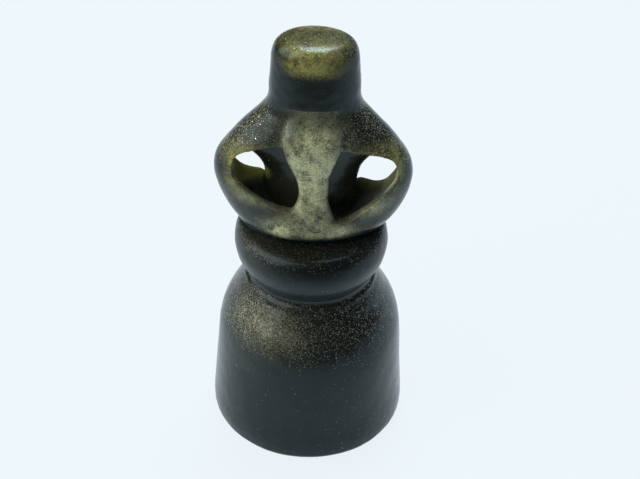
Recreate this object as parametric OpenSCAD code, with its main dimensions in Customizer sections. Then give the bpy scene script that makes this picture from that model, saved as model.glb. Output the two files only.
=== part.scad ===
// Fertility doll, carved from one block of dark olive stone.
// A bell-shaped skirt carries a neck groove and a round collar. Above them stands a flattened
// openwork torso: two arms bend out round a central core, and a slim strut stands free in
// front of the core and another behind it. An oval head closes the top.
// Each node is one carved zone of the block. Neighbours meet face to face and nothing moves.
// Millimetres. +Z is up, -Y is the doll's front, and the origin is the centre of the foot.

/* [Skirt] */
// Diameter of the skirt just above the foot
skirt_d = 27; // [21:0.5:34]
// Height of the skirt, from the foot to the neck groove
skirt_h = 24.2; // [19:0.2:32]
// Height at which the wall turns in to the shoulder of the skirt
skirt_shoulder_h = 16.2; // [12:0.2:17]
// How much the wall draws in on each side from the foot to that shoulder
skirt_draft = 1.1; // [0.4:0.1:1.2]
// Rounding of the foot's edge
foot_round = 1.1; // [0.4:0.1:2]

/* [Neck and collar] */
// Diameter of the neck groove at its narrowest
neck_d = 17.9; // [15:0.1:18]
// Height of the neck groove
neck_h = 2.6; // [1.6:0.1:5]
// Diameter of the collar at its widest
collar_d = 20.8; // [19:0.2:26]
// Height of the collar
collar_h = 6.2; // [4:0.2:9]
// Diameter of the flat on top of the collar
collar_top_d = 18.6; // [16:0.2:18.8]

/* [Torso] */
// Height of the torso, from the collar to the head
torso_h = 19.3; // [16:0.1:24]
// Width across both elbows
elbow_w = 26.2; // [21:0.2:32]
// Height of the elbows above the collar
elbow_h = 8.4; // [7:0.1:10]
// Depth of the torso, front to back
torso_depth = 12.3; // [10:0.1:15]
// Width of the hips where they stand on the collar
hip_w = 18; // [14:0.2:18.4]
// Depth of the hips where they stand on the collar
hip_depth = 9.6; // [8:0.2:12]
// Height of the hips' overhanging edge above the collar
hip_edge_h = 1.5; // [1:0.1:2]

/* [Windows] */
// Thickness of the stone left at the left elbow
left_arm_wall = 3; // [2.2:0.1:4]
// Thickness of the stone left at the right elbow
right_arm_wall = 2.4; // [2:0.1:4]
// Height of the left window's lowest corner above the collar
left_sill_h = 4.9; // [4:0.1:5.8]
// Height of the right window's lowest corner above the collar
right_sill_h = 3.5; // [3:0.1:5.8]
// Height of the windows' highest corner above the collar
lintel_h = 15.2; // [13.4:0.1:15.6]
// Rounding of the windows' corners
window_round = 1.3; // [0.6:0.1:1.4]
// Fall of the windows from the front to the back, in degrees
window_fall = 11; // [0:1:12]

/* [Core and struts] */
// Width of the core between the windows
core_w = 12.2; // [10:0.2:14]
// How far the core stands to the right of the middle
core_shift = -0.3; // [-0.6:0.1:0.6]
// Depth of the core, front to back
core_depth = 5.2; // [4:0.2:6]
// Width of each strut at its waist
strut_w = 3.2; // [2.4:0.1:4.4]
// Thickness of each strut, front to back
strut_depth = 2.2; // [1.6:0.1:2.4]
// Height of the slot between the core and each strut
slot_h = 7; // [5:0.1:8]

/* [Head] */
// Width of the head
head_w = 11.6; // [9:0.1:14]
// Depth of the head, front to back
head_depth = 8.6; // [7:0.1:11]
// Height of the head
head_h = 9.2; // [7:0.1:12]
// How much the head draws in on each side from the shoulders to the crown
head_draft = 0.2; // [0:0.1:0.8]
// Height of the rounded crown at the top of the head
crown_h = 2.6; // [1:0.1:3.4]

/* [Hidden] */

stone = "darkolivegreen";
turn_fn = 96;        // sides of the turned zones in a preview
curve_steps = 4;     // stretches that a curve draws between two of its points
oval_sides = 48;     // sides of the oval zones
far = 60;            // longer than any cut has to be

neck_z = skirt_h;
collar_z = neck_z + neck_h;
torso_z = collar_z + collar_h;
head_z = torso_z + torso_h;

neck_flare = 0.25;   // how far the groove opens towards the skirt and the collar
foot_taper = 0.8;    // width of the foot's rounding as a share of its height
window_clear = 0.8;  // stone of the arms above and below the windows
strut_flare = 1.2;   // how much a strut spreads at the lowest corner of a window
strut_crown = 2.1;   // how much a strut spreads at the highest corner
window_slant = 2;    // fall of a window's upper edge from the strut to the arm
elbow_drop = 0.5;    // how far the window's outer corner lies below the elbow
crown_flat = 0.42;   // size of the nearly flat top as a share of the head

sill_z = min(left_sill_h, right_sill_h) - window_clear;
lintel_z = lintel_h + window_clear;
strut_zone = strut_w / 2 + strut_flare + 0.4;  // half width of the zone that holds a strut

// ---- Curves ----

function between(a, b, share) = a + (b - a) * share;

// A smooth curve through four points, at t from 0 to 1 between q and r
function smooth(p, q, r, s, t) =
    0.5 * (2 * q + (r - p) * t + (2 * p - 5 * q + 4 * r - s) * t * t
           + (3 * q - p - 3 * r + s) * t * t * t);

function curve(points) =
    let (last = len(points) - 1)
    concat(
        [for (i = [0:last - 1]) for (k = [0:curve_steps - 1])
            smooth(points[max(i - 1, 0)], points[i], points[i + 1],
                   points[min(i + 2, last)], k / curve_steps)],
        [points[last]]);

// ---- Solids that the zones are cut from ----

// Turned about Z from an outline of [radius, height] points, foot first
module turned(outline) {
    bottom = outline[0];
    top = outline[len(outline) - 1];
    rotate_extrude($fn = turn_fn)
        polygon(concat([[0, bottom[1]]], outline, [[0, top[1]]]));
}

function oval_points(half_w, half_depth) =
    [for (k = [0:oval_sides - 1])
        let (angle = 360 * k / oval_sides)
        [half_w * cos(angle), half_depth * sin(angle)]];

// Oval in plan at every level, from [height, half width, half depth] levels
module oval_block(levels) {
    last = len(levels) - 1;
    points = [for (level = levels) for (point = oval_points(level[1], level[2]))
        [point[0], point[1], level[0]]];
    sides = [for (i = [0:last - 1]) for (k = [0:oval_sides - 1])
        let (low = i * oval_sides, next = (k + 1) % oval_sides)
        each [[low + k, low + oval_sides + k, low + next],
              [low + next, low + oval_sides + k, low + oval_sides + next]]];
    underside = [for (k = [0:oval_sides - 1]) k];
    top = [for (k = [oval_sides - 1:-1:0]) last * oval_sides + k];
    polyhedron(points, concat(sides, [underside, top]), convexity = 4);
}

// Everything between two heights
module slab(low, high) {
    translate([-far / 2, -far / 2, low]) cube([far, far, high - low]);
}

// ---- Skirt, neck and collar ----

module skirt() {
    foot_r = skirt_d / 2;
    shoulder_r = foot_r - skirt_draft;
    mouth_r = neck_d / 2 + neck_flare;
    turn_in_h = skirt_h - skirt_shoulder_h;
    foot_edge = [for (angle = [-90:22.5:-22.5])
        [foot_r - foot_round * foot_taper * (1 - cos(angle)), foot_round * (1 + sin(angle))]];
    wall = curve([
        [foot_r, foot_round],
        [between(foot_r, shoulder_r, 0.4), skirt_shoulder_h * 0.45],
        [shoulder_r, skirt_shoulder_h],
        [between(shoulder_r, mouth_r, 0.28), skirt_shoulder_h + turn_in_h * 0.42],
        [between(shoulder_r, mouth_r, 0.68), skirt_shoulder_h + turn_in_h * 0.7],
        [mouth_r, skirt_h]]);
    color(stone) turned(concat(foot_edge, wall));
}

module neck() {
    waist_r = neck_d / 2;
    color(stone) translate([0, 0, neck_z])
        turned(curve([
            [waist_r + neck_flare, 0],
            [waist_r, neck_h * 0.5],
            [waist_r + neck_flare, neck_h]]));
}

module collar() {
    mouth_r = neck_d / 2 + neck_flare;
    rim_r = collar_d / 2;
    top_r = collar_top_d / 2;
    color(stone) translate([0, 0, collar_z])
        turned(curve([
            [mouth_r, 0],
            [between(mouth_r, rim_r, 0.75), collar_h * 0.2],
            [rim_r, collar_h * 0.47],
            [between(rim_r, top_r, 0.25), collar_h * 0.78],
            [top_r, collar_h]]));
}

// ---- Torso: everything here stands on z = 0 and is lifted onto the collar ----

// The torso before it is pierced
module torso_block() {
    upper_h = torso_h - elbow_h;
    oval_block(curve([
        [0, hip_w / 2, hip_depth / 2],
        [hip_edge_h, between(hip_w, elbow_w, 0.32) / 2, torso_depth * 0.49],
        [elbow_h * 0.6, between(hip_w, elbow_w, 0.86) / 2, torso_depth / 2],
        [elbow_h, elbow_w / 2, torso_depth / 2],
        [elbow_h + upper_h * 0.27, between(elbow_w, head_w, 0.1) / 2, torso_depth * 0.485],
        [elbow_h + upper_h * 0.5, between(elbow_w, head_w, 0.35) / 2, torso_depth * 0.46],
        [elbow_h + upper_h * 0.83, between(elbow_w, head_w, 0.78) / 2,
            between(torso_depth, head_depth, 0.7) / 2],
        [torso_h, head_w / 2, head_depth / 2]]));
}

// A window seen from the front, as corners that go round from the top inner one
function window_corners(arm_wall, sill_h) =
    let (inner = strut_w / 2, outer = elbow_w / 2 - arm_wall)
    [[inner + strut_crown, lintel_h],
     [outer, lintel_h - window_slant],
     [outer, elbow_h - elbow_drop],
     [inner + strut_flare, sill_h],
     [inner, elbow_h]];

// One window, cut right through and falling towards the back
module window(arm_wall, sill_h) {
    translate([0, -torso_depth / 2, elbow_h]) rotate([90 - window_fall, 0, 0])
        translate([0, -elbow_h, -far / 2]) linear_extrude(far)
            offset(window_round, $fn = 24) offset(-window_round)
                polygon(window_corners(arm_wall, sill_h));
}

// The column in the middle of the torso, between two heights
module core_column(low, high) {
    translate([core_shift, 0, low]) linear_extrude(high - low)
        polygon(oval_points(core_w / 2, core_depth / 2));
}

// The torso between the hips and the shoulders, with both windows cut and the core taken out
module openwork() {
    difference() {
        intersection() {
            torso_block();
            slab(sill_z, lintel_z);
        }
        window(right_arm_wall, right_sill_h);
        mirror([1, 0, 0]) window(left_arm_wall, left_sill_h);
        core_column(sill_z - 1, lintel_z + 1);
    }
}

module hips() {
    color(stone) translate([0, 0, torso_z])
        intersection() {
            torso_block();
            slab(-1, sill_z);
        }
}

module core() {
    color(stone) translate([0, 0, torso_z]) core_column(sill_z, lintel_z);
}

// The zone of a strut, on the front of the core
module strut_block() {
    inner_face = torso_depth / 2 - strut_depth;
    difference() {
        translate([-strut_zone, -far, sill_z])
            cube([2 * strut_zone, far, lintel_z - sill_z]);
        translate([-far / 2, -inner_face, elbow_h - slot_h / 2])
            cube([far, 2 * inner_face, slot_h]);
    }
}

module front_strut() {
    color(stone) translate([0, 0, torso_z])
        intersection() {
            openwork();
            strut_block();
        }
}

module back_strut() {
    color(stone) translate([0, 0, torso_z])
        intersection() {
            openwork();
            mirror([0, 1, 0]) strut_block();
        }
}

// Everything outside a strut's zone, on the right of the core
module arm_block() {
    translate([strut_zone, -far / 2, sill_z])
        cube([far, far, lintel_z - sill_z]);
}

module right_arm() {
    color(stone) translate([0, 0, torso_z])
        intersection() {
            openwork();
            arm_block();
        }
}

module left_arm() {
    color(stone) translate([0, 0, torso_z])
        intersection() {
            openwork();
            mirror([1, 0, 0]) arm_block();
        }
}

module shoulders() {
    color(stone) translate([0, 0, torso_z])
        intersection() {
            torso_block();
            slab(lintel_z, torso_h + 1);
        }
}

// ---- Head ----

module head() {
    top_w = head_w / 2 - head_draft;
    top_depth = head_depth / 2 - head_draft;
    wall_h = head_h - crown_h;
    crown = [for (angle = [0:15:90])
        let (share = between(crown_flat, 1, cos(angle)))
        [wall_h + crown_h * sin(angle), top_w * share, top_depth * share]];
    color(stone) translate([0, 0, head_z])
        oval_block(concat([[0, head_w / 2, head_depth / 2]], crown));
}

skirt();
neck();
collar();
hips();
core();
front_strut();
back_strut();
left_arm();
right_arm();
shoulders();
head();
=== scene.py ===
import math

import bmesh
import bpy
import numpy as np
from mathutils import Euler, Matrix, Vector, noise
from mathutils.bvhtree import BVHTree


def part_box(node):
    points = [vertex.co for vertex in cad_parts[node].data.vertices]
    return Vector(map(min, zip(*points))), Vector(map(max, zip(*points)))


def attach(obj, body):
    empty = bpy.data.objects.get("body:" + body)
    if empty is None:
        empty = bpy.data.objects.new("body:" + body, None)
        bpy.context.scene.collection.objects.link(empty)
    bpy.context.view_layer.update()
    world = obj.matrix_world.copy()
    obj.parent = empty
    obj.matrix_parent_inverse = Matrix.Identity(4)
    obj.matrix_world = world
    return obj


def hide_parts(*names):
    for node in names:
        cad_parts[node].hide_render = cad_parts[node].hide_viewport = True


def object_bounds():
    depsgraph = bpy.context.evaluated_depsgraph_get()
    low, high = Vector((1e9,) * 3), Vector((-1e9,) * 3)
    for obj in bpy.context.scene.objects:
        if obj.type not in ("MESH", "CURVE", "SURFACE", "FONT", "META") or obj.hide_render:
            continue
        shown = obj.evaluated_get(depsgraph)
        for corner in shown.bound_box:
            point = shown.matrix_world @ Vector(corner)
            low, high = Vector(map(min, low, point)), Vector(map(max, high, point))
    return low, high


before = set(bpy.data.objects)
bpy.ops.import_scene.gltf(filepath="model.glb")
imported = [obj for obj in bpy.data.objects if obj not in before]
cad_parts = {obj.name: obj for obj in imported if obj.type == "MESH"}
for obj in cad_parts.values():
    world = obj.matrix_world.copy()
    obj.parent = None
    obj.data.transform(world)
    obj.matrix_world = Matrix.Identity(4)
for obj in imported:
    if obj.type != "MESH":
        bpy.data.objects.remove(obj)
cad_low, cad_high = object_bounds()

# ---------------------------------------------------------------------------------------------
# The doll stands on a large sheet of pale card between two soft lamps, one above and behind and
# one to the left, and is looked at from in front and well above. Card and room look pale when
# seen directly, but light the doll as a dim room does, and the card less towards the front.

MM = 0.001

eye = Vector((1.19, -161.2, 160.7)) * MM
look_down = math.radians(39.2)
camera_roll = math.radians(1.6)
turn = Euler((math.radians(90) - look_down, 0, 0)).to_matrix() @ Matrix.Rotation(camera_roll, 3, "Z")
camera = bpy.data.objects.new("camera", bpy.data.cameras.new("camera"))
camera.matrix_world = Matrix.Translation(eye) @ turn.to_4x4()
camera.data.lens = 85.78
camera.data.sensor_width = 36
camera.data.clip_start = 0.01
bpy.context.scene.collection.objects.link(camera)
bpy.context.scene.camera = camera
bpy.context.scene.view_settings.view_transform = "Standard"


def node_tree(owner):
    """Short ways to add a node to a material or to the world, emptied first, and to join two."""
    owner.use_nodes = True
    tree = owner.node_tree
    tree.nodes.clear()

    def add(kind, **values):
        node = tree.nodes.new(kind)
        for name, value in values.items():
            if name in node.inputs:
                node.inputs[name].default_value = value
            else:
                setattr(node, name, value)
        return node

    return add, tree.links.new


card_r = 0.6
card_dims_from, card_dims_to = -0.045, -0.10
pale, card_dim, room_dim = 0.96, 0.24, 0.14


def white_card():
    """Pale card that gives its own light, and less of it to the doll from the front."""
    card = bpy.data.materials.new("white_card")
    add, join = node_tree(card)
    fibre = add("ShaderNodeTexNoise", Scale=900.0, Detail=3.0)
    tone = add("ShaderNodeMix", data_type="RGBA")
    tone.inputs["A"].default_value = (0.038, 0.042, 0.044, 1)
    tone.inputs["B"].default_value = (0.042, 0.046, 0.048, 1)
    bump = add("ShaderNodeBump", Strength=0.05, Distance=0.0002)
    paper = add("ShaderNodeBsdfPrincipled", Roughness=0.9)
    paper.inputs["Specular IOR Level"].default_value = 0.1
    paper.inputs["Emission Color"].default_value = (0.835, 0.9, 0.95, 1)
    spot = add("ShaderNodeTexCoord")
    axes = add("ShaderNodeSeparateXYZ")
    light = add("ShaderNodeMapRange", interpolation_type="SMOOTHSTEP")
    light.inputs["From Min"].default_value = card_dims_to
    light.inputs["From Max"].default_value = card_dims_from
    light.inputs["To Min"].default_value = card_dim
    light.inputs["To Max"].default_value = pale
    join(spot.outputs["Object"], axes.inputs["Vector"])
    join(axes.outputs["Y"], light.inputs["Value"])
    seen = add("ShaderNodeLightPath")
    strength = add("ShaderNodeMix", data_type="FLOAT")
    strength.inputs["B"].default_value = pale
    join(seen.outputs["Is Camera Ray"], strength.inputs["Factor"])
    join(light.outputs["Result"], strength.inputs["A"])
    join(strength.outputs["Result"], paper.inputs["Emission Strength"])
    out = add("ShaderNodeOutputMaterial")
    join(fibre.outputs["Fac"], tone.inputs["Factor"])
    join(fibre.outputs["Fac"], bump.inputs["Height"])
    join(tone.outputs["Result"], paper.inputs["Base Color"])
    join(bump.outputs["Normal"], paper.inputs["Normal"])
    join(paper.outputs["BSDF"], out.inputs["Surface"])
    return card


card_mesh = bpy.data.meshes.new("floor")
shape = bmesh.new()
bmesh.ops.create_circle(shape, cap_ends=True, segments=96, radius=card_r)
shape.to_mesh(card_mesh)
shape.free()
floor = bpy.data.objects.new("floor", card_mesh)
floor.location = (0, 0, cad_low[2])
bpy.context.scene.collection.objects.link(floor)
card_mesh.materials.append(white_card())


def soft_lamp(name, place, size, watts, colour):
    """A square soft lamp that faces the middle of the doll."""
    lamp = bpy.data.lights.new(name, "AREA")
    lamp.size = size
    lamp.energy = watts
    lamp.color = colour
    holder = bpy.data.objects.new(name, lamp)
    holder.location = place
    aim = Vector((0, 0, (cad_low[2] + cad_high[2]) / 2)) - holder.location
    holder.rotation_euler = aim.to_track_quat("-Z", "Y").to_euler()
    bpy.context.scene.collection.objects.link(holder)


soft_lamp("lamp_overhead", (0.02, 0.18, 0.49), 0.2, 2.3, (0.95, 1.0, 0.96))
soft_lamp("lamp_left", (-0.44, -0.15, 0.38), 0.62, 3.5, (1.0, 0.97, 0.9))

room = bpy.data.worlds.new("room")
bpy.context.scene.world = room
room_add, room_join = node_tree(room)
wall = room_add("ShaderNodeBackground", Color=(0.86, 0.93, 1.0, 1))
wall_seen = room_add("ShaderNodeLightPath")
wall_light = room_add("ShaderNodeMix", data_type="FLOAT")
wall_light.inputs["A"].default_value = room_dim
wall_light.inputs["B"].default_value = pale
room_join(wall_seen.outputs["Is Camera Ray"], wall_light.inputs["Factor"])
room_join(wall_light.outputs["Result"], wall.inputs["Strength"])
room_join(wall.outputs["Background"], room_add("ShaderNodeOutputWorld").inputs["Surface"])

# ---------------------------------------------------------------------------------------------
# Skirt: the bell-shaped lower body, ground round and polished from the same block of dark
# olive-brown stone as everything above it. The foot is flat, with a softly worn edge.


def through(points, steps):
    """A smooth curve through the points, with so many steps from each point to the next."""
    points = [np.array(p, float) for p in points]
    ends = [points[0]] + points + [points[-1]]
    line = []
    for p, q, r, s in zip(ends, ends[1:], ends[2:], ends[3:]):
        for t in np.arange(steps) / steps:
            line.append(0.5 * (2 * q + (r - p) * t + (2 * p - 5 * q + 4 * r - s) * t**2
                               + (3 * q - p - 3 * r + s) * t**3))
    return line + [points[-1]]


def skin(name, rings):
    """A closed mesh from rings of points, one above the other, in millimetres."""
    mesh = bpy.data.meshes.new(name)
    size = len(rings[0])
    last = (len(rings) - 1) * size
    faces = [(row + k, row + (k + 1) % size, row + size + (k + 1) % size, row + size + k)
             for row in range(0, last, size) for k in range(size)]
    faces.append(tuple(reversed(range(size))))
    faces.append(tuple(range(last, last + size)))
    mesh.from_pydata([tuple(p) for ring in rings for p in ring], [], faces)
    whole = bmesh.new()
    whole.from_mesh(mesh)
    bmesh.ops.recalc_face_normals(whole, faces=whole.faces)
    whole.to_mesh(mesh)
    whole.free()
    return bpy.data.objects.new(name, mesh)


def turned(name, outline, sides=256):
    """Ground round about the upright axis from an outline of (radius, height) points."""
    angles = [2 * math.pi * k / sides for k in range(sides)]
    rings = [[(r * math.cos(a), r * math.sin(a), z) for a in angles] for r, z in outline]
    return skin(name, rings)


def by_hand(piece, waver):
    """The slight waver of a surface that was ground by hand."""
    for vertex in piece.data.vertices:
        place = vertex.co
        out = Vector((place.x, place.y, 0)).normalized()
        push = waver * (noise.noise(place * 0.11) + noise.noise(place * 0.35) * 0.3
                        + noise.noise(place) * 0.2)
        vertex.co = place + out * push


def cut_from(whole, name, low, high):
    """The part of a surface between two heights, shaded as smoothly as if it were still uncut."""
    part = bmesh.new()
    part.from_mesh(whole.data)
    came_from = part.verts.layers.int.new("came_from")
    for vertex in part.verts:
        vertex[came_from] = vertex.index
    off = [face for face in part.faces if not low <= face.calc_center_median().z <= high]
    bmesh.ops.delete(part, geom=off, context="FACES")
    bmesh.ops.holes_fill(part, edges=[edge for edge in part.edges if edge.is_boundary])
    uncut = [whole.data.vertices[vertex[came_from]].normal.copy() for vertex in part.verts]
    part.verts.layers.int.remove(came_from)
    mesh = bpy.data.meshes.new(name)
    part.to_mesh(mesh)
    part.free()
    mesh.shade_smooth()
    mesh.normals_split_custom_set_from_vertices(uncut)
    return bpy.data.objects.new(name, mesh)


def polished_stone():
    """Dark stone with golden mica flecks; the olive where it is thin is a painted glow of light getting
    through, and its pale seam and mica drifts are partly painted sheen and shade.
    """
    stone = bpy.data.materials.new("polished_stone")
    add, join = node_tree(stone)
    place = add("ShaderNodeTexCoord")
    # Painted glow: where the stone is thin, the olive of light getting through is painted into the colour
    thin = add("ShaderNodeAttribute", attribute_name="thin")
    glow = add("ShaderNodeMapRange", interpolation_type="SMOOTHSTEP")
    glow.inputs["From Min"].default_value = 0.36
    glow.inputs["From Max"].default_value = 1.0
    cloud = add("ShaderNodeTexNoise", Scale=520.0, Detail=7.0, Roughness=0.75)
    # The dark stone is lighter where mica is thick; on the left of the skirt this is partly a painted
    # sheen where the left lamp falls, and on the collar's front it is darker as painted shade under the
    # torso
    deep = add("ShaderNodeMix", data_type="RGBA")
    deep.inputs["A"].default_value = (0.002, 0.0024, 0.0018, 1)
    deep.inputs["B"].default_value = (0.05, 0.052, 0.034, 1)
    drift = add("ShaderNodeAttribute", attribute_name="mica")
    dust_sheen_and_shade = add("ShaderNodeMath", operation="MULTIPLY", use_clamp=True)
    grit = add("ShaderNodeTexNoise", Scale=4200.0, Detail=3.0, Roughness=0.6)
    both = add("ShaderNodeMath", operation="MULTIPLY_ADD")
    both.inputs[1].default_value = 0.45
    # The olive here is the painted glow colour, mixed over the dark stone where it is thin
    body = add("ShaderNodeMix", data_type="RGBA")
    body.inputs["B"].default_value = (0.3, 0.295, 0.09, 1)
    # Pale seam: lighter stone along the strut, chin and sills, partly a painted sheen on the top of the
    # strut and on the sills
    seam_and_sheen = add("ShaderNodeAttribute", attribute_name="pale")
    seamed_and_sheened = add("ShaderNodeMix", data_type="RGBA")
    seamed_and_sheened.inputs["B"].default_value = (0.58, 0.62, 0.35, 1)
    mottle = add("ShaderNodeMapRange")
    mottle.inputs["From Min"].default_value = 0.57
    mottle.inputs["From Max"].default_value = 0.88
    mottle.inputs["To Min"].default_value = 0.1
    mottle.inputs["To Max"].default_value = 1.5
    cut = add("ShaderNodeAttribute", attribute_name="unpolished")
    # On the window walls the painted glow is kept even instead of mottled
    tone = add("ShaderNodeMix", data_type="FLOAT")
    tone.inputs["B"].default_value = 0.95
    lit = add("ShaderNodeMath", operation="MULTIPLY", use_clamp=True)
    paler = add("ShaderNodeMath", operation="MULTIPLY", use_clamp=True)
    join(place.outputs["Object"], cloud.inputs["Vector"])
    join(cloud.outputs["Fac"], dust_sheen_and_shade.inputs[0])
    join(drift.outputs["Fac"], dust_sheen_and_shade.inputs[1])
    join(dust_sheen_and_shade.outputs["Value"], deep.inputs["Factor"])
    join(place.outputs["Object"], grit.inputs["Vector"])
    join(grit.outputs["Fac"], both.inputs[0])
    join(cloud.outputs["Fac"], both.inputs[2])
    join(thin.outputs["Fac"], glow.inputs["Value"])
    join(both.outputs["Value"], mottle.inputs["Value"])
    join(glow.outputs["Result"], lit.inputs[0])
    join(cut.outputs["Fac"], tone.inputs["Factor"])
    join(mottle.outputs["Result"], tone.inputs["A"])
    join(tone.outputs["Result"], lit.inputs[1])
    join(lit.outputs["Value"], body.inputs["Factor"])
    join(deep.outputs["Result"], body.inputs["A"])
    join(body.outputs["Result"], seamed_and_sheened.inputs["A"])
    join(mottle.outputs["Result"], paler.inputs[0])
    join(seam_and_sheen.outputs["Fac"], paler.inputs[1])
    join(paler.outputs["Value"], seamed_and_sheened.inputs["Factor"])

    # Mica: tiny plates that lie nearly level in the stone, so they show on the surfaces that face up and
    # are cut edge-on by the upright ones, which also paints their glints where the light from above falls;
    # thicker in some drifts than in others
    plates = add("ShaderNodeTexVoronoi", Scale=10500.0)
    patch = add("ShaderNodeTexNoise", Scale=420.0, Detail=3.0)
    lie = add("ShaderNodeNewGeometry")
    upright = add("ShaderNodeSeparateXYZ")
    edge_on_and_top_lit = add("ShaderNodeMapRange", interpolation_type="SMOOTHSTEP")
    edge_on_and_top_lit.inputs["From Min"].default_value = 0.12
    edge_on_and_top_lit.inputs["From Max"].default_value = 0.6
    edge_on_and_top_lit.inputs["To Min"].default_value = 0.025
    edge_on_and_top_lit.inputs["To Max"].default_value = 1.0
    bare = add("ShaderNodeMath", operation="MAXIMUM")
    shown = add("ShaderNodeMath", operation="MULTIPLY")
    rubbed = add("ShaderNodeMath", operation="MULTIPLY_ADD")
    rubbed.inputs[1].default_value = -1.0
    rubbed.inputs[2].default_value = 1.0
    fewer = add("ShaderNodeMath", operation="MULTIPLY")
    share = add("ShaderNodeMath", operation="MULTIPLY")
    draw = add("ShaderNodeSeparateColor")
    over = add("ShaderNodeMath", operation="ADD")
    past = add("ShaderNodeMath", operation="SUBTRACT")
    past.inputs[1].default_value = 1.0
    plate = add("ShaderNodeMath", operation="DIVIDE", use_clamp=True)
    join(place.outputs["Object"], plates.inputs["Vector"])
    join(place.outputs["Object"], patch.inputs["Vector"])
    join(lie.outputs["Normal"], upright.inputs["Vector"])
    join(upright.outputs["Z"], edge_on_and_top_lit.inputs["Value"])
    join(patch.outputs["Fac"], share.inputs[0])
    join(drift.outputs["Fac"], share.inputs[1])
    join(cut.outputs["Fac"], rubbed.inputs[0])
    join(share.outputs["Value"], fewer.inputs[0])
    join(rubbed.outputs["Value"], fewer.inputs[1])
    join(fewer.outputs["Value"], shown.inputs[0])
    join(edge_on_and_top_lit.outputs["Result"], bare.inputs[0])
    join(seam_and_sheen.outputs["Fac"], bare.inputs[1])
    join(bare.outputs["Value"], shown.inputs[1])
    join(plates.outputs["Color"], draw.inputs["Color"])
    join(draw.outputs["Red"], over.inputs[0])
    join(shown.outputs["Value"], over.inputs[1])
    join(over.outputs["Value"], past.inputs[0])
    join(past.outputs["Value"], plate.inputs[0])
    join(shown.outputs["Value"], plate.inputs[1])
    gold = add("ShaderNodeMix", data_type="RGBA")
    gold.inputs["B"].default_value = (0.34, 0.33, 0.24, 1)
    join(plate.outputs["Value"], gold.inputs["Factor"])
    join(seamed_and_sheened.outputs["Result"], gold.inputs["A"])
    metal = add("ShaderNodeMath", operation="MULTIPLY")
    metal.inputs[1].default_value = 0.55
    join(plate.outputs["Value"], metal.inputs[0])

    # Each plate leans its own way, and the polished stone between them has a very fine grain
    tilt = add("ShaderNodeVectorMath", operation="SUBTRACT")
    tilt.inputs[1].default_value = (0.5, 0.5, 0.5)
    lean = add("ShaderNodeVectorMath", operation="SCALE")
    much = add("ShaderNodeMath", operation="MULTIPLY")
    much.inputs[1].default_value = 1.2
    little = add("ShaderNodeMath", operation="ADD")
    little.inputs[1].default_value = 0.05
    grain = add("ShaderNodeBump", Strength=0.3, Distance=0.00005)
    tilted = add("ShaderNodeVectorMath", operation="ADD")
    facing = add("ShaderNodeVectorMath", operation="NORMALIZE")
    join(plates.outputs["Color"], tilt.inputs[0])
    join(plate.outputs["Value"], much.inputs[0])
    join(much.outputs["Value"], little.inputs[0])
    join(tilt.outputs["Vector"], lean.inputs[0])
    join(little.outputs["Value"], lean.inputs["Scale"])
    join(cloud.outputs["Fac"], grain.inputs["Height"])
    join(grain.outputs["Normal"], tilted.inputs[0])
    join(lean.outputs["Vector"], tilted.inputs[1])
    join(tilted.outputs["Vector"], facing.inputs[0])

    # The polish is a little uneven, and the walls that no cloth reaches are left dull
    smear = add("ShaderNodeTexNoise", Scale=160.0, Detail=3.0)
    gloss = add("ShaderNodeMapRange")
    gloss.inputs["To Min"].default_value = 0.16
    gloss.inputs["To Max"].default_value = 0.26
    join(place.outputs["Object"], smear.inputs["Vector"])
    join(smear.outputs["Fac"], gloss.inputs["Value"])
    shine = add("ShaderNodeMix", data_type="FLOAT")
    shine.inputs["B"].default_value = 0.75
    join(cut.outputs["Fac"], shine.inputs["Factor"])
    join(gloss.outputs["Result"], shine.inputs["A"])

    surface = add("ShaderNodeBsdfPrincipled", IOR=1.38)
    surface.inputs["Sheen Weight"].default_value = 0.1
    surface.inputs["Sheen Roughness"].default_value = 0.35
    surface.inputs["Sheen Tint"].default_value = (0.22, 0.66, 0.95, 1)
    surface.inputs["Specular Tint"].default_value = (0.6, 0.86, 1.0, 1)
    out = add("ShaderNodeOutputMaterial")
    join(gold.outputs["Result"], surface.inputs["Base Color"])
    join(metal.outputs["Value"], surface.inputs["Metallic"])
    join(shine.outputs["Result"], surface.inputs["Roughness"])
    join(facing.outputs["Vector"], surface.inputs["Normal"])
    join(surface.outputs["BSDF"], out.inputs["Surface"])
    return stone


stone = polished_stone()
stone_pieces = []


def finish_piece(piece, *nodes):
    """Brings a piece from millimetres to its real size, and gives it its stone and its body."""
    stone_pieces.append(piece)
    piece.data.transform(Matrix.Scale(MM, 4))
    piece.data.materials.append(stone)
    bpy.context.scene.collection.objects.link(piece)
    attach(piece, "root")
    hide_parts(*nodes)


def span(node):
    """A zone's lowest and highest corners, in millimetres."""
    low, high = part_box(node)
    return low / MM, high / MM


skirt_top = span("skirt")[1].z
foot_r = span("skirt")[1].x
neck_top = span("neck")[1].z
ring_r = span("collar")[1].x
collar_top = span("collar")[1].z

edge_r, edge_in, axis_r = 1.0, 0.85, 0.3
lathe_waver = 0.12
foot = [(r, 0) for r in np.linspace(axis_r, foot_r - edge_in, 12)[:-1]]
worn_edge = [(foot_r - edge_in + edge_r * math.sin(a), edge_r - edge_r * math.cos(a))
             for a in np.radians(np.arange(0, 91, 7.5))]
bell = [(foot_r + 0.15, 1.0), (13.63, 2.6), (13.3, 6.6), (12.98, 11.5), (12.68, 15.3), (12.2, 17.6),
        (11.4, 19.6), (10.4, 21.4), (9.6, 22.9), (9.2, 23.6), (8.95, skirt_top)]
groove = [(8.95, skirt_top), (8.6, 24.6), (8.5, 25.1), (8.62, 25.6), (8.95, 26.2), (9.25, neck_top)]
roll = [(9.25, neck_top), (9.75, 27.35), (10.1, 28.1), (ring_r, 29.6), (10.35, 30.9), (10.0, 32.1),
        (9.3, 32.85), (8.0, collar_top), (5.0, collar_top), (axis_r, collar_top)]
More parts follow.
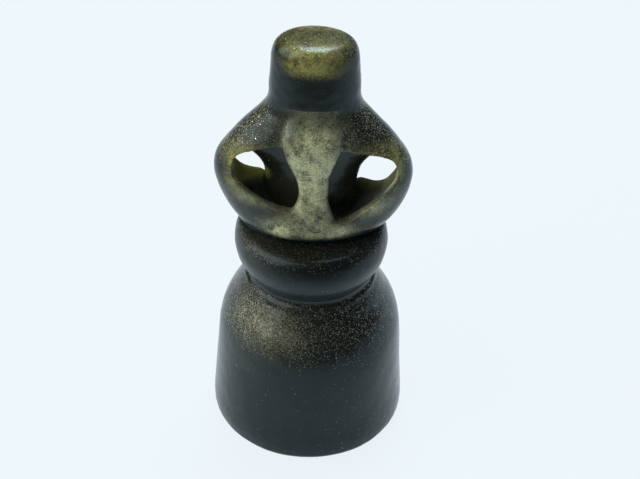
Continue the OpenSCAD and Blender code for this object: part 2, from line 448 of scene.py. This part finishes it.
wall = through(bell + groove[1:] + roll[1:], 8)
ground_body = turned("ground_body", foot + worn_edge + [tuple(p) for p in wall[1:]])
by_hand(ground_body, lathe_waver)
skirt = cut_from(ground_body, "skirt_of_stone", 0, skirt_top)
finish_piece(skirt, "skirt")

# ---------------------------------------------------------------------------------------------
# Neck: the narrow groove cut between the skirt and the collar, the same stone, undercut a little
# below the collar.

neck = cut_from(ground_body, "neck_groove", skirt_top, neck_top)
finish_piece(neck, "neck")

# ---------------------------------------------------------------------------------------------
# Collar: a round ring of the same stone between the groove and the torso, its edge rolled over
# and its top falling gently outwards from under the hips.

collar = cut_from(ground_body, "collar_ring", neck_top, collar_top + 1)
finish_piece(collar, "collar")

# ---------------------------------------------------------------------------------------------
# Torso: one flattened block, pierced by two windows that fall a little towards the back. The
# stone left standing is the two bent arms, the core and a slim strut before and behind it.


def oval(half_w, half_depth, z, centre=(0, 0), sides=96, squareness=2.0):
    """A ring of points round an oval, or a squarer one where squareness is over 2."""
    ring = []
    for k in range(sides):
        a = 2 * math.pi * k / sides
        c, s = math.cos(a), math.sin(a)
        ring.append((centre[0] + half_w * math.copysign(abs(c) ** (2 / squareness), c),
                     centre[1] + half_depth * math.copysign(abs(s) ** (2 / squareness), s), z))
    return ring


def column(name, levels, squareness=2.0):
    """A closed column from (height, left, right, front, back) levels."""
    rings = []
    for z, left, right, front, back in through(levels, 4):
        rings.append(oval((right - left) / 2, (back - front) / 2, z,
                          ((left + right) / 2, (front + back) / 2), squareness=squareness))
    return skin(name, rings)


def even(levels):
    """The same levels for a column that is as deep behind as in front."""
    return [(z, left, right, -deep, deep) for z, left, right, deep in levels]


widest, edge_fullness = 13.2, 0.3


def fullness(x):
    """How deep the torso is at this distance from its middle, as a share of its greatest depth."""
    return edge_fullness + (1 - edge_fullness) * math.sqrt(1 - (x / widest) ** 2)


def window(name, front, throat, back, sag):
    """A cutter through the torso from three (x, z) outlines: the window's front edge, its narrow
    throat about half-way, and its back edge. The sill sags into a bowl behind the front edge."""
    lines = [np.array(through(line[-1:] + line + line[:2], 8)[8:-9])
             for line in (front, throat, back)]
    low, high = lines[0][:, 1].min(), lines[0][:, 1].max()
    depths = [(-9.0, 1, 0, 0, 0), (-6.2, 1, 0, 0, 0), (-4.7, 1, 0, 0, 0), (-3.7, 1, 0, 0, 0.35),
              (-2.9, 1, 0, 0, 0.95), (-1.8, 0.95, 0.05, 0, 1.15), (-0.8, 0.75, 0.25, 0, 1.0),
              (0.2, 0.25, 0.75, 0, 0.3), (1.0, 0, 1, 0, 0), (1.5, 0, 0.9, 0.1, 0), (2.3, 0, 0.45, 0.55, 0),
              (3.1, 0, 0.08, 0.92, 0), (4.2, 0, 0, 1, 0), (9.0, 0, 0, 1, 0)]
    rings = []
    for y, *shares, sunk in through(depths, 4):
        ring = sum(share * line for share, line in zip(shares, lines))
        rings.append([(x, y * fullness(x) if abs(y) < 7 else y,
                       z - sag * sunk * (1 - (z - low) / (high - low)) ** 2) for x, z in ring])
    return skin(name, rings)


def joined(name, pieces):
    """Several closed pieces as one object, each still whole."""
    whole = bmesh.new()
    for piece in pieces:
        whole.from_mesh(piece.data)
    mesh = bpy.data.meshes.new(name)
    bmesh.ops.recalc_face_normals(whole, faces=whole.faces)
    whole.to_mesh(mesh)
    whole.free()
    return bpy.data.objects.new(name, mesh)


def worked(piece, *steps):
    """The piece with each (kind, values) step carried out on its mesh."""
    bpy.context.scene.collection.objects.link(piece)
    for kind, values in steps:
        step = piece.modifiers.new(kind.lower(), kind)
        for name, value in values.items():
            setattr(step, name, value)
    bpy.context.view_layer.update()
    seen = piece.evaluated_get(bpy.context.evaluated_depsgraph_get())
    mesh = bpy.data.meshes.new_from_object(seen)
    bpy.context.scene.collection.objects.unlink(piece)
    return bpy.data.objects.new(piece.name, mesh)


head_low, head_high = span("head")
crown_top = head_high.z
block_levels = [
    (32.6, -9.2, 9.2, 4.9), (33.0, -9.5, 9.5, 5.1), (34.4, -10.1, 10.5, 6.25),
    (36.0, -11.2, 11.6, 6.3), (38.4, -12.35, 12.6, 6.2), (41.4, -13.1, 13.1, 6.15),
    (44.0, -12.65, 12.5, 5.9), (46.9, -10.6, 10.6, 5.4), (48.8, -8.9, 9.0, 4.85),
    (50.5, -7.3, 7.5, 4.4), (51.8, -6.25, 6.4, 4.2), (53.2, -5.85, 5.9, 4.2)]
head_levels = [
    (54.8, -5.82, 5.82, 4.2), (56.5, -5.72, 5.72, 4.2), (58.0, -5.65, 5.65, 4.2),
    (59.2, -5.58, 5.58, 4.15), (60.1, -5.32, 5.32, 4.0), (60.8, -4.85, 4.85, 3.6),
    (61.2, -4.05, 4.05, 2.95), (61.42, -2.6, 2.6, 1.8), (crown_top, -0.3, 0.3, 0.2)]
block = column("block", even(block_levels + head_levels))

left_window = window(
    "left_window",
    front=[(-1.5, 47.6), (-4.2, 47.7), (-6.6, 46.9), (-8.8, 45.9), (-10.1, 44.8), (-10.45, 43.3),
           (-10.0, 41.9), (-8.1, 40.3), (-5.5, 38.9), (-3.0, 38.2), (-1.2, 38.2), (0.5, 38.4),
           (0.5, 47.4)],
    throat=[(-1.5, 47.0), (-4.2, 47.0), (-6.8, 46.6), (-9.0, 45.7), (-10.4, 44.8), (-10.9, 43.9),
            (-10.6, 42.6), (-9.5, 41.3), (-8.1, 40.7), (-6.8, 40.4), (-5.0, 39.2), (0.5, 38.6),
            (0.5, 47.0)],
    back=[(-1.5, 47.4), (-4.2, 47.4), (-6.8, 46.8), (-9.0, 45.8), (-10.5, 44.8), (-11.0, 43.0),
          (-11.0, 40.9), (-10.2, 38.2), (-8.8, 36.6), (-6.4, 36.2), (-3.0, 36.4), (0.5, 36.8),
          (0.5, 47.4)],
    sag=2.6)
right_window = window(
    "right_window",
    front=[(1.0, 47.4), (2.8, 47.6), (5.4, 47.0), (8.5, 45.9), (10.3, 44.7), (10.9, 43.2),
           (10.5, 41.6), (8.2, 39.2), (5.9, 37.5), (4.2, 36.6), (2.6, 36.8), (1.0, 37.2),
           (-0.5, 37.4), (-0.5, 47.2)],
    throat=[(1.0, 47.0), (2.8, 47.0), (5.4, 46.6), (8.6, 45.7), (10.8, 44.6), (11.4, 43.2),
            (11.0, 41.4), (9.6, 39.3), (8.2, 38.9), (7.0, 39.2), (6.0, 39.3), (4.6, 38.3),
            (-0.5, 38.1), (-0.5, 47.0)],
    back=[(1.0, 47.4), (2.8, 47.4), (5.4, 46.8), (8.6, 45.7), (10.7, 44.6), (11.5, 43.0),
          (11.6, 40.8), (10.9, 38.4), (9.4, 36.0), (8.2, 35.1), (6.2, 35.1), (4.0, 35.4),
          (-0.5, 36.2), (-0.5, 47.2)],
    sag=1.4)

core_levels = [
    (34.5, -7.6, 7.2, 3.4), (37.2, -6.7, 6.1, 2.8), (39.5, -6.4, 5.8, 2.6), (41.5, -6.4, 6.1, 2.6),
    (42.6, -6.8, 6.5, 2.6), (43.6, -7.5, 7.2, 2.65), (44.6, -8.5, 8.2, 2.7), (45.6, -9.3, 9.2, 2.8),
    (48.5, -8.6, 8.6, 3.2)]
core = column("core", even(core_levels))
strut_levels = [
    (33.4, -5.2, 4.2, -5.3, -2.8), (34.4, -5.2, 4.2, -6.45, -3.0), (35.4, -4.9, 3.9, -6.6, -3.1),
    (36.4, -4.3, 3.4, -6.5, -3.3), (37.3, -3.4, 2.9, -6.4, -3.6), (38.4, -2.55, 2.5, -6.3, -3.9),
    (39.7, -1.95, 2.15, -6.2, -4.1), (40.9, -1.75, 2.1, -6.15, -4.1), (42.0, -1.8, 2.1, -6.15, -4.1),
    (43.7, -2.2, 2.2, -6.2, -4.0), (45.2, -2.9, 2.65, -6.3, -3.7), (46.7, -3.6, 3.2, -6.35, -3.2),
    (48.2, -3.95, 3.55, -6.3, -2.8), (49.2, -3.95, 3.55, -6.1, -2.4), (50.1, -3.8, 3.5, -5.6, -2.0),
    (50.9, -3.6, 3.4, -4.95, -1.5), (51.7, -3.4, 3.3, -4.4, -1.2), (52.5, -3.0, 2.9, -4.1, -1.0)]
strut_squareness = 2.6
front_strut = column("front_strut", strut_levels, strut_squareness)
back_strut = column("back_strut", [(z, left, right, -back, -front)
                                   for z, left, right, front, back in strut_levels], strut_squareness)

both_windows = joined("both_windows", [left_window, right_window])
pierced = worked(block, ("BOOLEAN", {"operation": "DIFFERENCE", "solver": "EXACT", "use_self": True,
                                     "object": both_windows}))
carved_body = joined("carved_body", [pierced, core, front_strut, back_strut])
carved_grain, carving_waver = 0.17, 0.14
carved_body = worked(carved_body, ("REMESH", {"mode": "VOXEL", "voxel_size": carved_grain}),
                     ("SMOOTH", {"factor": 0.5, "iterations": 16}))
by_hand(carved_body, carving_waver)
head_seat = head_low.z + 0.8
torso = cut_from(carved_body, "torso_openwork", 0, head_seat)
finish_piece(torso, "hips", "core", "front_strut", "back_strut", "left_arm", "right_arm", "shoulders")

# ---------------------------------------------------------------------------------------------
# Head: a plain oval knob with no face, the top of the same block as the torso, with no joint
# between them. Its crown is rounded over and polished like the rest.

head = cut_from(carved_body, "head_knob", head_seat, crown_top + 1)
finish_piece(head, "head")

# ---------------------------------------------------------------------------------------------
# Painted light in the stone: where the block is thin, the light that would get through is painted into the
# colour, and the dark stone turns to olive. Each point is told how thin the stone behind it is, through
# all the pieces together, and painted glow spots in the windows, on the arms and on the crown add to it,
# the negative ones as painted shade. Mica and a pale seam run in drifts, and some of these drifts are
# painted sheen and shade too.


def thinness(piece, skin_tree, reach=8.0, rays=18):
    """How thin the stone is behind each point, from 0 for thick to 1."""
    golden = math.pi * (3 - math.sqrt(5))
    spread = []
    for i in range(rays):
        rise = 1 - 0.75 * (i + 0.5) / rays
        flat = math.sqrt(1 - rise * rise)
        spread.append(Vector((flat * math.cos(golden * i), flat * math.sin(golden * i), rise)))
    values = []
    for vertex in piece.data.vertices:
        inward = -vertex.normal
        side = inward.orthogonal().normalized()
        other = inward.cross(side)
        start = vertex.co + inward * 0.3 * MM
        total = 0.0
        for ray in spread:
            hit = skin_tree.ray_cast(start, side * ray.x + other * ray.y + inward * ray.z, reach * MM)
            total += hit[3] / MM if hit[0] is not None else reach
        values.append(1 - total / (rays * reach))
    return values


def drifts(piece, ground, clouds):
    """An even ground with (centre, radii, strength) clouds in it, the same before and behind."""
    values = []
    for vertex in piece.data.vertices:
        x, y, z = vertex.co / MM
        value = ground
        for (cx, cy, cz), (rx, ry, rz), strength in clouds:
            far = ((x - cx) / rx) ** 2 + ((abs(y) + cy) / ry) ** 2 + ((z - cz) / rz) ** 2
            value += strength * math.exp(-far)
        values.append(value)
    return values


def keep(piece, name, values):
    """Notes one value for each point of the piece under this name, for its stone to read."""
    piece.data.attributes.new(name, "FLOAT", "POINT").data.foreach_set("value", values)


# Pale seam: lighter stone along the strut, chin and sills, partly a painted sheen on the top of the strut
# and on the sills
pale_seam_and_sheen = [
    ((0.3, -6.4, 46.8), (3.4, 2.6, 5.4), 1.25), ((-0.2, -6.6, 38.0), (3.0, 2.2, 4.0), 0.55),
    ((-4.2, -6.0, 35.4), (2.6, 2.0, 1.3), 0.75), ((3.2, -6.0, 35.2), (2.2, 2.0, 1.1), 0.85),
    ((-6.8, -4.6, 39.8), (4.0, 1.4, 1.1), 0.35), ((7.2, -4.2, 38.8), (3.2, 2.0, 1.5), 0.6)]
# Mica drifts: thicker and thinner mica; the strong drift on the left of the skirt also paints sheen where
# the left lamp falls, and the negative one on the collar's front paints shade under the torso
mica_sheen_and_shade_drifts = [
    ((-6.5, -8.5, 20.5), (6.0, 5.5, 3.2), 1.6), ((-8.0, -6.0, 17.5), (5.0, 5.0, 3.0), 0.4),
    ((7.5, -4.6, 38.8), (4.2, 2.6, 2.4), 0.9), ((-6.8, -5.0, 39.8), (4.8, 2.2, 1.8), 0.8),
    ((-10.5, -4.0, 38.0), (2.0, 3.0, 3.0), 0.8), ((1.5, -5.5, 48.0), (4.0, 2.5, 4.0), 0.5),
    ((-7.5, -5.5, 31.0), (3.5, 4.0, 2.0), 0.5), ((-8.5, -3.0, 48.0), (3.0, 3.0, 2.5), 0.3),
    ((2.0, -1.0, 61.0), (4.5, 5.0, 1.5), 0.25), ((-4.0, -2.0, 60.5), (3.0, 4.0, 2.0), -0.3),
    ((1.5, -9.5, 31.5), (5.5, 3.0, 1.6), -0.28)]
# Painted glow spots, added to the thinness: they paint light through the stone in the windows and on the
# crown's front and top, and the negative ones paint shade on the sills and the outer arms
painted_glow_spots = [
    ((-8.8, 0.4, 41.2), (2.8, 2.2, 1.2), 1.8), ((-10.6, 0.0, 43.5), (1.0, 3.0, 2.2), 0.4),
    ((9.4, 0.0, 40.0), (2.0, 2.0, 1.0), 0.35), ((11.2, 0.0, 42.5), (1.0, 3.0, 2.2), 0.4),
    ((0.0, -4.2, 59.2), (5.8, 2.4, 2.1), 0.66), ((0.0, 0.0, 61.2), (6.5, 5.0, 1.2), 0.35),
    ((-6.5, -5.6, 39.6), (4.5, 1.7, 1.5), -0.4), ((7.5, -5.0, 38.8), (4.2, 2.0, 2.2), -0.5),
    ((-9.2, -3.6, 46.5), (2.6, 2.4, 2.2), 0.08), ((9.2, -3.6, 46.5), (2.6, 2.4, 2.2), 0.2),
    ((-12.6, -1.5, 42.5), (1.6, 3.0, 3.0), -0.2), ((12.6, -1.5, 43.0), (1.8, 3.0, 3.0), -0.25)]
window_tree = BVHTree.FromPolygons([v.co for v in both_windows.data.vertices],
                                   [p.vertices for p in both_windows.data.polygons])


cloth_reach, reach_fade = 3.5, 0.8
wall_gap, gap_fade = 0.6, 0.3


def inside_windows(piece):
    """1 on the walls the window cutters left, where no polishing cloth reaches, and 0 elsewhere."""
    values = []
    for vertex in piece.data.vertices:
        gap = window_tree.find_nearest(vertex.co / MM)[3]
        x, y = abs(vertex.co.x) / MM, abs(vertex.co.y) / MM
        on_wall = (wall_gap - gap) / gap_fade
        inward = (cloth_reach - y / fullness(min(x, 13))) / reach_fade
        values.append(min(max(on_wall, 0), 1) * min(max(inward, 0), 1))
    return values


outer_skin = joined("outer_skin", stone_pieces)
outer_skin.data.transform(Matrix.Scale(1 / MM, 4))
outer_grain = 0.35
outer_skin = worked(outer_skin, ("REMESH", {"mode": "VOXEL", "voxel_size": outer_grain}))
outer_skin.data.transform(Matrix.Scale(MM, 4))
skin_tree = BVHTree.FromPolygons([v.co for v in outer_skin.data.vertices],
                                 [p.vertices for p in outer_skin.data.polygons])
torso_mica, other_mica = 0.5, 0.32
for piece in stone_pieces:
    keep(piece, "thin", thinness(piece, skin_tree))
    keep(piece, "mica", drifts(piece, torso_mica if piece == torso else other_mica, mica_sheen_and_shade_drifts))
# The painted glow spots are added to how thin the stone is, brightening or darkening the painted glow
for piece in (torso, head):
    thin = piece.data.attributes["thin"].data
    spots = drifts(piece, 0.0, painted_glow_spots)
    thin.foreach_set("value", [point.value + spot for point, spot in zip(thin, spots)])
keep(torso, "pale", drifts(torso, 0.0, pale_seam_and_sheen))
keep(torso, "unpolished", inside_windows(torso))
keep(collar, "unpolished", drifts(collar, 0.2, []))
